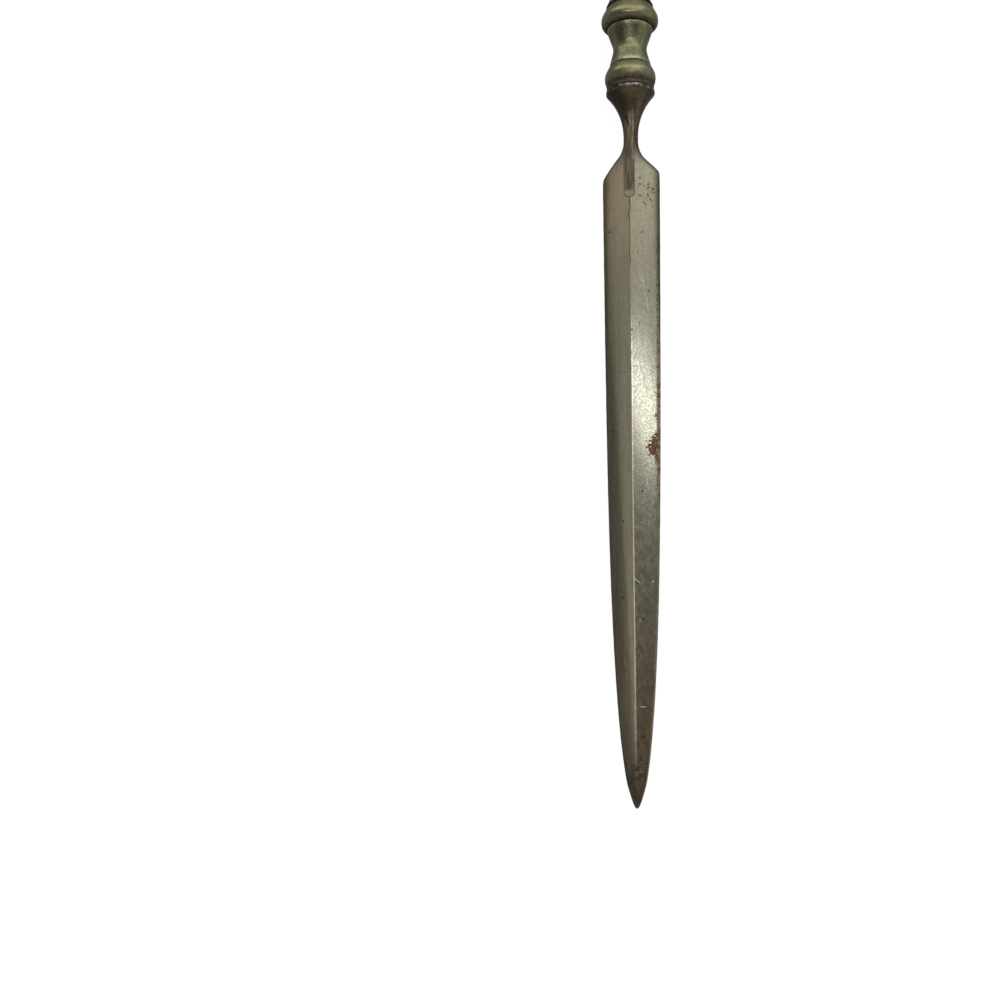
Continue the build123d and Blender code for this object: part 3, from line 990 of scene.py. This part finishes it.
def makeTurned(name, piece, outer, finish, node, bore=None, pole=None):
    outer = softened(outer, *piece["roll"])
    low, high = outer[0][1], outer[-1][1]
    widest = max(q[0] for q in outer)
    profile = [(q[0], q[1], 1.0) for q in outer]
    inside = boreRadius if bore is None else bore
    if pole:
        profile += [(0.0, high, 0.0), (0.0, pole, 0.0), (inside, pole, 0.0)]
    else:
        profile.append((inside, high, 0.0))
    profile += [(inside, low, 0.0), profile[0]]
    mesh = bpy.data.meshes.new(name + "Profile")
    mesh.from_pydata([(r, p, 0) for r, p, _ in profile], [], [])
    values = {"outside": [], "grimeAndShade": [], "wear": []}
    # darkening towards the seams at both ends: dirt, with painted shade in the grooves between the parts
    lowGrimeAndShade, highGrimeAndShade = piece["grimeAndShade"]
    for r, p, out in profile:
        fade = bell(p - low, lowGrimeAndShade)
        if not pole:
            fade = max(fade, bell(high - p, highGrimeAndShade))
        gap = p - low if pole else min(p - low, high - p)
        values["outside"].append(out * (0.2 + 0.8 * smoothStep(0.0, turning["endCalm"], gap)))
        values["grimeAndShade"].append(fade * turning["seamGrimeAndShade"] if out else 1.0)
        # worn metal at the crest, near the ends and round the polished band; on the spool the rims and band are also
        # painted highlights
        wear = piece["crestWear"] * bell(widest - r, turning["crestSpread"])
        wear += piece["rimWearAndGlint"] * bell(gap - turning["rimGap"], turning["rimSpread"])
        if "polishAndHighlight" in piece:
            middle, spread, strength = piece["polishAndHighlight"]
            wear += strength * bell(p - low - middle, spread)
        values["wear"].append(min(wear, 1.0) * out)
    for key, numbers in values.items():
        mesh.attributes.new(key, "FLOAT", "POINT").data.foreach_set("value", numbers)
    blank = addObject(name + "Blank", mesh)
    modifier = blank.modifiers.new("lathe", "NODES")
    modifier.node_group = latheTree
    settings = {
        "Segments": turning["segments"],
        "Dent Depth": piece["dent"],
        "Dent Size": turning["dentSize"],
        "Seed": piece["seed"],
        "Finish": finish,
    }
    for item in latheTree.interface.items_tree:
        if item.in_out == "INPUT" and item.name in settings:
            modifier[item.identifier] = settings[item.name]
    depsgraph = bpy.context.evaluated_depsgraph_get()
    spun = bpy.data.meshes.new_from_object(blank.evaluated_get(depsgraph))
    bpy.data.objects.remove(blank)
    spun.name = name
    spun.transform(lieMatrix)
    finishMesh(spun, turning["sharp"])
    return addPiece(name, spun, finish, node)


def straightRun(points, gap=0.15):
    run = [points[0]]
    for a, b in zip(points, points[1:]):
        steps = max(int(math.dist(a, b) / gap), 2)
        run += steppedTo(a, b, steps)
    return run


def crowned(points, rise):
    # flank filled out a little between crest and end, so that it rounds like a worn bead
    total = abs(points[-1][1] - points[0][1])
    full = []
    for r, p in points:
        t = abs(p - points[0][1]) / total
        full.append((r + rise * 6.75 * t * t * (1 - t), p))
    return full


def beadProfile(ring, start):
    crest = (ring["diameter"] / 2, start + ring["rise"])
    footCurve, topCurve = ring["curves"]
    below = crowned(taperFrom(crest, (ring["foot"] / 2, start), footCurve), ring["crown"])
    above = crowned(taperFrom(crest, (ring["top"] / 2, start + ring["height"]), topCurve), ring["crown"])
    return list(reversed(below)) + above[1:]


def hollowFrom(start, heading, end, steps=20):
    # arc that leaves a point in a given direction and ends at another
    length = math.hypot(*heading)
    ux, uy = heading[0] / length, heading[1] / length
    nx, ny = -uy, ux
    dx, dy = end[0] - start[0], end[1] - start[1]
    curve = (dx * dx + dy * dy) / (2 * (dx * nx + dy * ny))
    centre = (start[0] + nx * curve, start[1] + ny * curve)
    a0 = math.atan2(start[1] - centre[1], start[0] - centre[0])
    a1 = math.atan2(end[1] - centre[1], end[0] - centre[0])
    sweep = (a1 - a0 + math.pi) % (2 * math.pi) - math.pi
    size = abs(curve)
    return [
        (centre[0] + size * math.cos(a0 + sweep * k / steps), centre[1] + size * math.sin(a0 + sweep * k / steps))
        for k in range(steps + 1)
    ]


station = seat
washer = {
    "diameter": 6.96, "thickness": 0.7,
    # painted shade over the washer's upper end, beside the lower bead
    "roll": (0.12, 0.12), "dent": 0.02, "seed": 1.0, "grimeAndShade": (0.1, 0.38), "rimWearAndGlint": 0.2, "crestWear": 0.0,
}
radius = washer["diameter"] / 2
washerProfile = straightRun([(radius, station), (radius, station + washer["thickness"])], 0.05)
makeTurned("bolsterWasher", washer, washerProfile, washerSteel, "bolster_washer")
station += washer["thickness"]

lowerRing = {
    "foot": 6.8, "diameter": 7.48, "top": 6.15, "rise": 1.26, "curves": (1.7, 1.7), "height": 3, "crown": 0.04,
    # painted shade at the foot of the bead, in the groove by the washer
    "roll": (0.12, 0.12), "dent": 0.015, "seed": 2.0, "grimeAndShade": (0.72, 0.12), "rimWearAndGlint": 0.0, "crestWear": 0.35,
}
makeTurned("lowerBeadRing", lowerRing, beadProfile(lowerRing, station), agedBrass, "lower_ring")
station += lowerRing["height"]

spool = {
    "lower": 6.25, "waist": 4.97, "waistRise": 2.75, "waistCurve": 2.8, "upper": 7, "height": 6.15,
    # the spool's worn rims and polished band are also painted highlights on its rims and waist
    "roll": (0.3, 0.5), "dent": 0.03, "seed": 3.0, "grimeAndShade": (0.09, 0.09), "rimWearAndGlint": 1.0, "crestWear": 0.0,
    "polishAndHighlight": (3.1, 0.9, 0.3),
}
waist = (spool["waist"] / 2, station + spool["waistRise"])
spoolProfile = list(reversed(taperFrom(waist, (spool["lower"] / 2, station), -spool["waistCurve"])))
spoolProfile += taperFrom(waist, (spool["upper"] / 2, station + spool["height"]), -spool["waistCurve"])[1:]
makeTurned("waistedSpool", spool, spoolProfile, wornBrass, "spool")
station += spool["height"]

upperRing = {
    "foot": 7.1, "diameter": 8.44, "top": 6.5, "rise": 1.1, "curves": (1.15, 1.6), "height": 3.3, "crown": 0.05,
    "roll": (0.12, 0.12), "dent": 0.015, "seed": 4.0, "grimeAndShade": (0.34, 0.12), "rimWearAndGlint": 0.0, "crestWear": 0.35,
}
makeTurned("upperBeadRing", upperRing, beadProfile(upperRing, station), agedBrass, "upper_ring")
station += upperRing["height"]

grip = {
    "lower": 7.05, "neck": 5.8, "neckRise": 3.4, "belly": 9.9, "bellyRise": 18, "bellyCurve": 26,
    "upper": 6, "height": 29.9,
    "roll": (0.12, 0.12), "dent": 0.015, "seed": 5.0, "grimeAndShade": (0.22, 0.25), "rimWearAndGlint": 0.4, "crestWear": 0.5,
}
belly = (grip["belly"] / 2, station + grip["bellyRise"])
neck = (grip["neck"] / 2, station + grip["neckRise"])
longTaper = taperFrom(belly, neck, grip["bellyCurve"])
fall = (longTaper[-1][0] - longTaper[-2][0], longTaper[-1][1] - longTaper[-2][1])
cove = hollowFrom(neck, fall, (grip["lower"] / 2, station))
gripProfile = list(reversed(cove)) + list(reversed(longTaper))[1:]
gripProfile += taperFrom(belly, (grip["upper"] / 2, station + grip["height"]), grip["bellyCurve"])[1:]
makeTurned("turnedGrip", grip, gripProfile, agedBrass, "grip")
station += grip["height"]

collar = {
    "diameter": 7.4, "height": 1.6,
    "roll": (0.3, 0.3), "dent": 0.015, "seed": 6.0, "grimeAndShade": (0.2, 0.2), "rimWearAndGlint": 0.4, "crestWear": 0.2,
}
radius = collar["diameter"] / 2
collarProfile = straightRun([(radius, station), (radius, station + collar["height"])], 0.08)
makeTurned("topCollar", collar, collarProfile, agedBrass, "top_collar")
station += collar["height"]

finial = {
    "foot": 5.2, "diameter": 7.8, "flare": 3, "band": 1.5, "cap": 4.4, "capHeight": 1.3,
    "thread": 3.04, "threadDepth": 4.2,
    "roll": (0.12, 0.12), "dent": 0.015, "seed": 7.0, "grimeAndShade": (0.25, 0.25), "rimWearAndGlint": 0.2, "crestWear": 0.5,
}
flareTop = station + finial["flare"]
bandTop = flareTop + finial["band"]
finialProfile = straightRun(
    [
        (finial["foot"] / 2, station),
        (finial["diameter"] / 2, flareTop),
        (finial["diameter"] / 2, bandTop),
        (finial["cap"] / 2, bandTop + finial["capHeight"]),
    ]
)
makeTurned(
    "capFinial", finial, finialProfile, agedBrass, "finial",
    bore=finial["thread"] / 2, pole=station + finial["threadDepth"],
)
print("turned pieces ready")


# Stage, light and camera

stage = {"floorSize": 6.0, "paint": 0.9, "paintInGloss": 0.5, "glow": 0.85, "glowStrength": 1.12}


def buildFloor():
    half = stage["floorSize"] / 2
    mesh = bpy.data.meshes.new("studioFloor")
    mesh.from_pydata([(-half, -half, 0), (half, -half, 0), (half, half, 0), (-half, half, 0)], [], [(0, 1, 2, 3)])
    floor = addObject("studioFloor", mesh)
    material = bpy.data.materials.new("paleFloor")
    material.use_nodes = True
    material.node_tree.nodes.clear()
    bench = NodeBench(material.node_tree)
    path = bench.add("ShaderNodeLightPath").outputs
    shade = bench.mixValue(path["Is Glossy Ray"], stage["paint"], stage["paintInGloss"])
    paint = bench.add("ShaderNodeBsdfDiffuse", {"Color": shade}).outputs[0]
    glow = bench.add("ShaderNodeEmission", {"Strength": stage["glowStrength"]}).outputs[0]
    seen = bench.most(path["Is Camera Ray"], path["Is Transmission Ray"])
    mix = bench.add("ShaderNodeMixShader", {0: bench.times(seen, stage["glow"]), 1: paint, 2: glow})
    bench.add("ShaderNodeOutputMaterial", {"Surface": mix.outputs[0]})
    mesh.materials.append(material)


buildFloor()

# brightness of the studio by direction: light from the handle's end, darker behind the tip
sky = {
    "length": [
        (-1.0, 0.16), (-0.5, 0.15), (-0.25, 0.19), (-0.15, 0.24), (-0.1, 0.27), (-0.03, 0.32), (0.03, 0.44),
        (0.06, 0.5), (0.1, 0.54), (0.16, 0.56), (0.23, 0.72), (0.3, 1.05), (0.42, 1.2), (0.55, 1.5), (0.68, 1.4),
        (0.8, 1.0), (0.9, 0.75), (1.0, 0.65),
    ],
    "panel": 0.52,
    "ridgeStrip": 1.6,
    "belt": 0.62,
    "front": 0.5,
    "left": 0.16,
    "leftBack": 0.18,
    "right": 0.56,
    "rightBack": 0.42,
}
# where one part of the studio fades into the next, as shares of the direction
skyEdges = {
    "rightWall": (0.4, 0.85), "rightBack": (0.0, 0.4), "leftWall": (-0.5, -0.05), "leftBack": (0.2, 0.5),
    "panelLeft": (-0.66, -0.53), "panelRight": (0.0, 0.1), "panelFront": (-0.27, -0.13), "panelBack": (0.4, 0.55),
    "panelWide": (0.15, 0.33, 0.05), "strip": (-0.36, 0.0, 0.06), "stripBack": (0.1, 0.22),
    "back": (0.48, 0.6), "backLeft": (-0.95, -0.7), "front": (-0.72, -0.6),
    "belt": (0.1, 0.4), "beltLeft": (-0.8, -0.5),
}


def skyAlong(bench, dy):
    # brightness along the length, as a curve over the direction's Y
    curve = bench.add("ShaderNodeFloatCurve", {"Value": bench.timesPlus(dy, 0.5, 0.5), "Factor": 1.0})
    points = curve.mapping.curves[0].points
    stops = [((place + 1) / 2, level / 2) for place, level in sky["length"]]
    points[0].location, points[1].location = stops[0], stops[-1]
    for stop in stops[1:-1]:
        points.new(*stop)
    for point in points:
        point.handle_type = "VECTOR"
    curve.mapping.update()
    return bench.times(curve.outputs["Value"], 2.0)


def buildSky():
    world = bpy.data.worlds.new("studioSky")
    bpy.context.scene.world = world
    world.use_nodes = True
    bench = NodeBench(world.node_tree)
    coords = bench.add("ShaderNodeTexCoord").outputs["Generated"]
    axes = bench.add("ShaderNodeSeparateXYZ", {0: coords}).outputs
    dx, dy, dz = axes["X"], axes["Y"], axes["Z"]

    def fadeIn(value, name):
        return bench.ramp(value, *skyEdges[name])

    def fadeOut(value, name):
        return bench.ramp(value, *skyEdges[name], 1.0, 0.0)

    length = skyAlong(bench, dy)
    # walls at the sides
    rightWall = bench.ramp(dy, *skyEdges["rightBack"], sky["right"], sky["rightBack"])
    light = bench.mixValue(fadeIn(dx, "rightWall"), length, rightWall)
    leftWall = bench.ramp(dy, *skyEdges["leftBack"], sky["left"], sky["leftBack"])
    light = bench.mixValue(fadeOut(dx, "leftWall"), light, leftWall)
    # soft panel overhead on the left, wider beside the tongue, with a brighter strip that lights the ridge
    lean = bench.timesPlus(bench.window(dy, *skyEdges["panelWide"]), 0.05, dx)
    panel = bench.times(fadeIn(lean, "panelLeft"), fadeOut(dx, "panelRight"))
    panel = bench.times(panel, fadeIn(dy, "panelFront"))
    panel = bench.times(panel, fadeOut(dy, "panelBack"))
    strip = bench.times(bench.window(dx, *skyEdges["strip"]), bench.ramp(dy, *skyEdges["stripBack"], 1.0, 0.1))
    light = bench.mixValue(panel, light, bench.mixValue(strip, sky["panel"], sky["ridgeStrip"]))
    # light from behind the handle and, weaker, from in front of the tip
    backLight = bench.times(fadeIn(dy, "back"), fadeIn(dx, "backLeft"))
    backLight = bench.times(backLight, fadeOut(dx, "rightWall"))
    light = bench.mixValue(backLight, light, length)
    light = bench.most(light, bench.ramp(dy, *skyEdges["front"], sky["front"], 0.0))
    # paler belt low down, less of it on the left
    belt = bench.times(fadeOut(dz, "belt"), bench.ramp(dx, *skyEdges["beltLeft"], 0.3, 1.0))
    light = bench.most(light, bench.times(belt, sky["belt"]))
    path = bench.add("ShaderNodeLightPath").outputs
    light = bench.mixValue(path["Is Camera Ray"], light, 1.0)
    back = world.node_tree.nodes["Background"]
    bench.join(light, back.inputs["Color"])
    back.inputs["Strength"].default_value = 1.0


buildSky()


# small lamp whose mirror image is the hot patch on the right facet
keyPanel = {
    "place": (0.096, 0.04, 0.489), "aim": (0.002, -0.021, 0.003), "size": (0.1, 0.042), "turn": -23, "watts": 0.053,
    "tint": (0.94, 0.97, 1.12),
}


def addLamp(name, lamp):
    data = bpy.data.lights.new(name, "AREA")
    data.shape = "RECTANGLE"
    data.size, data.size_y = lamp["size"]
    data.energy = lamp["watts"]
    data.color = lamp["tint"]
    panel = addObject(name, data)
    panel.location = lamp["place"]
    # long side kept near the world's X, turned in the flat
    back = (Vector(lamp["place"]) - Vector(lamp["aim"])).normalized()
    turn = math.radians(lamp["turn"])
    long = Vector((math.cos(turn), math.sin(turn), 0))
    long = (long - back * long.dot(back)).normalized()
    panel.rotation_euler = Matrix((long, back.cross(long), back)).transposed().to_euler()


addLamp("keyPanel", keyPanel)

viewpoint = {
    "sensor": 36, "lens": 39.772, "shift": -0.08, "nearest": 0.005,
    "place": (-0.0196113, -0.0511268, 0.1559134), "turn": (10.1881, -0.3519, 0.4415),
}
camera = bpy.data.cameras.new("photoCamera")
camera.sensor_width = viewpoint["sensor"]
camera.lens = viewpoint["lens"]
camera.shift_y = viewpoint["shift"]
camera.clip_start = viewpoint["nearest"]
photoCamera = addObject("photoCamera", camera)
photoCamera.location = viewpoint["place"]
photoCamera.rotation_euler = [math.radians(a) for a in viewpoint["turn"]]
bpy.context.scene.camera = photoCamera
bpy.context.scene.view_settings.view_transform = "Standard"
print("stage ready")
